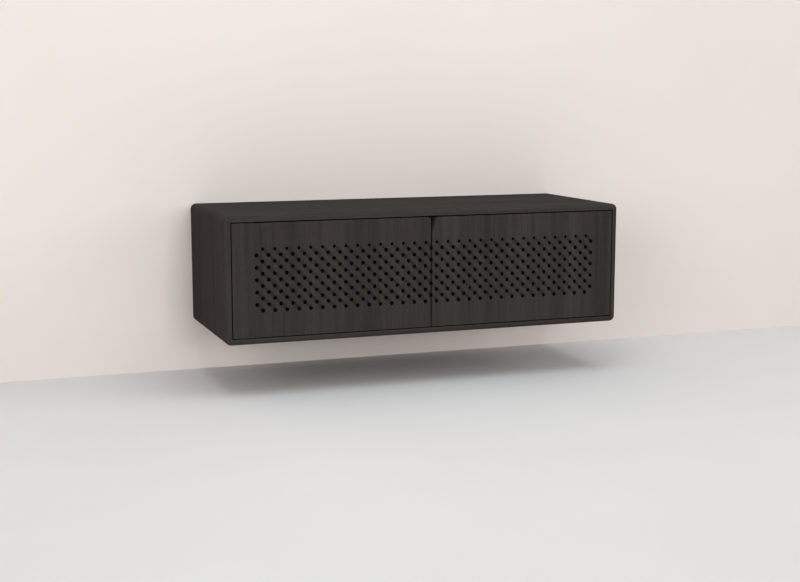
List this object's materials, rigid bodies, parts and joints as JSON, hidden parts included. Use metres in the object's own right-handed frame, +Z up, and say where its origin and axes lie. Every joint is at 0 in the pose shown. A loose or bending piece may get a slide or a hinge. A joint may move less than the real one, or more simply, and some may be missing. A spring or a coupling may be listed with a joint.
{
  "type": "floating media console",
  "caption": "Wall-hung media console with a mitred round-cornered case, a shelf in each compartment and paired pivot doors drilled and grooved into a lattice.",
  "frame": {"origin": "on the wall plane, at the middle of the wall cleat's line of screw holes", "axes": "+X to the right along the wall seen from the room, +Y into the wall, +Z up; the doors face -Y"},
  "size_m": [1.2, 0.45, 0.356],
  "materials": {
    "dark_veneer": "charcoal-stained open-pore veneer, matt lacquer",
    "dark_veneer_door": "charcoal-stained wood, matt lacquer, drilled and grooved",
    "back_board": "black-stained thin board, matt",
    "birch_plywood": "raw birch plywood, sanded",
    "beech": "raw fluted dowel",
    "black_plastic": "fine moulded texture",
    "soft_bumper": "soft matt silicone",
    "hinge_black": "black phosphate",
    "black_screw": "black zinc",
    "pin_steel": "turned steel",
    "strike_steel": "zinc plated",
    "magnet_nickel": "nickel plated"
  },
  "bodies": {
    "carcass": {"top_panel": "dark_veneer", "bottom_panel": "dark_veneer", "left_side_panel": "dark_veneer", "right_side_panel": "dark_veneer", "centre_divider": "dark_veneer", "left_shelf": "dark_veneer", "right_shelf": "dark_veneer", "back_panel": "back_board", "left_hanging_rail": "dark_veneer", "right_hanging_rail": "dark_veneer", "mitre_splines": "birch_plywood", "cabinet_cleat": "birch_plywood", "wall_cleat": "birch_plywood", "lower_wall_spacer": "birch_plywood", "divider_dowels": "beech", "rail_dowels": "beech", "left_cable_grommet": "black_plastic", "right_cable_grommet": "black_plastic", "left_shelf_pins": "pin_steel", "right_shelf_pins": "pin_steel", "cleat_screws": "black_screw", "spacer_screws": "black_screw", "frame_leaf_screws": "black_screw", "catch_screws": "black_screw", "left_hinge_pins": "pin_steel", "right_hinge_pins": "pin_steel", "hinge_washers": "black_plastic", "left_magnet_catch": "black_plastic", "right_magnet_catch": "black_plastic", "left_catch_magnet": "magnet_nickel", "right_catch_magnet": "magnet_nickel", "door_bumpers": "soft_bumper", "left_top_frame_leaf": "hinge_black", "left_bottom_frame_leaf": "hinge_black", "right_top_frame_leaf": "hinge_black", "right_bottom_frame_leaf": "hinge_black"},
    "left_door": {"left_door": "dark_veneer_door", "left_top_door_leaf": "hinge_black", "left_bottom_door_leaf": "hinge_black", "left_door_leaf_screws": "black_screw", "left_strike_plate": "strike_steel", "left_strike_screw": "black_screw"},
    "right_door": {"right_door": "dark_veneer_door", "right_top_door_leaf": "hinge_black", "right_bottom_door_leaf": "hinge_black", "right_door_leaf_screws": "black_screw", "right_strike_plate": "strike_steel", "right_strike_screw": "black_screw"}
  },
  "joints": [
    {"name": "left_door_hinge", "type": "hinge", "parent": "carcass", "child": "left_door", "pos_m": [-0.5625, -0.4425, 0], "axis": [0, 0, -1], "range_deg": [0, 110]},
    {"name": "right_door_hinge", "type": "hinge", "parent": "carcass", "child": "right_door", "pos_m": [0.5625, -0.4425, 0], "axis": [0, 0, 1], "range_deg": [0, 110]}
  ]
}
